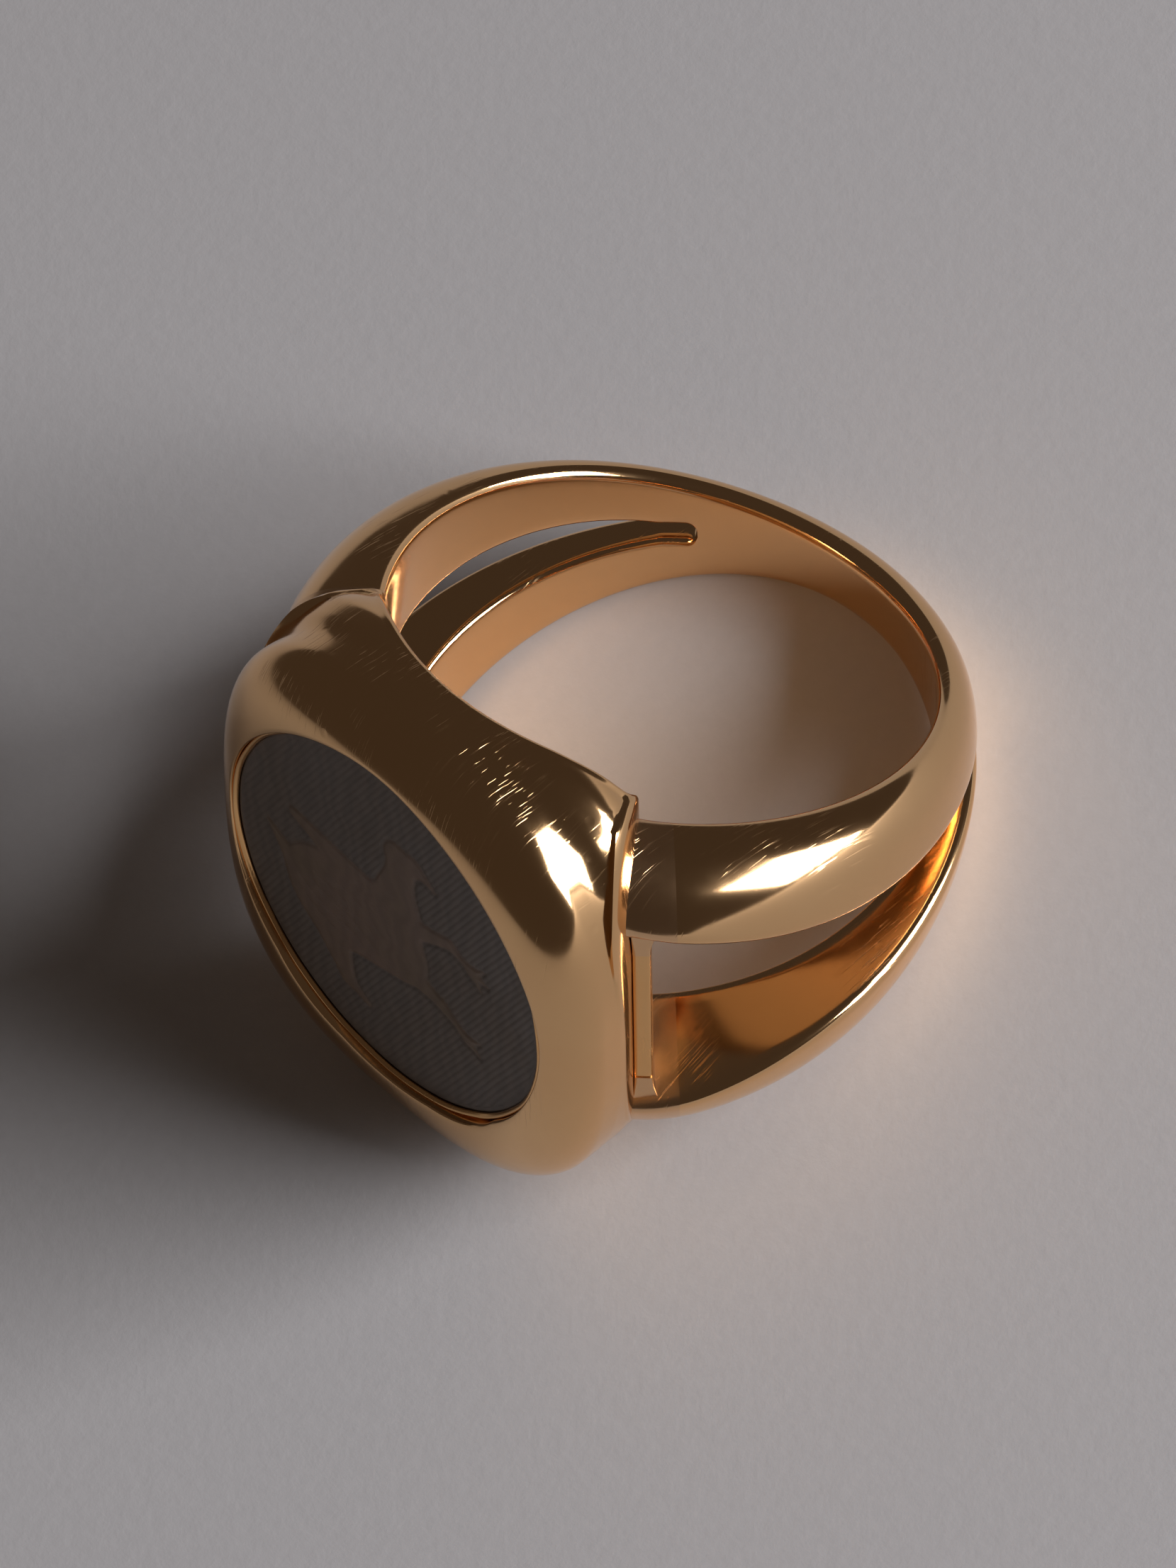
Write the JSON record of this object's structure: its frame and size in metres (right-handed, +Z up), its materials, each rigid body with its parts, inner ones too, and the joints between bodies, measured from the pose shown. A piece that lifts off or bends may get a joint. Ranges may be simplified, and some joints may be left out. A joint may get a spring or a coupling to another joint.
{
  "type": "signet ring",
  "caption": "Yellow gold signet ring with a cushion head, a split shank, gallery bars behind the head and a round engraved shell inlay.",
  "frame": {"origin": "middle of the footprint of the ring lying on its side, on the surface it lies on", "axes": "+Z up from the surface, -Y towards the head's face, +X towards the right-hand arms seen from the head; the finger hole leans 23.5 degrees from Z towards +Y"},
  "size_m": [0.022, 0.0236, 0.0176],
  "materials": {
    "gold": "polished",
    "solder": "satin",
    "shell": "satin",
    "cement": "matte"
  },
  "bodies": {
    "root": {"shank": "gold", "head": "gold", "gallery_bar_right": "gold", "gallery_bar_left": "gold", "bezel_collar": "gold", "shoulder_solder": "solder", "bar_solder": "solder", "inlay_disc": "shell", "cement_bed": "cement"}
  },
  "joints": []
}
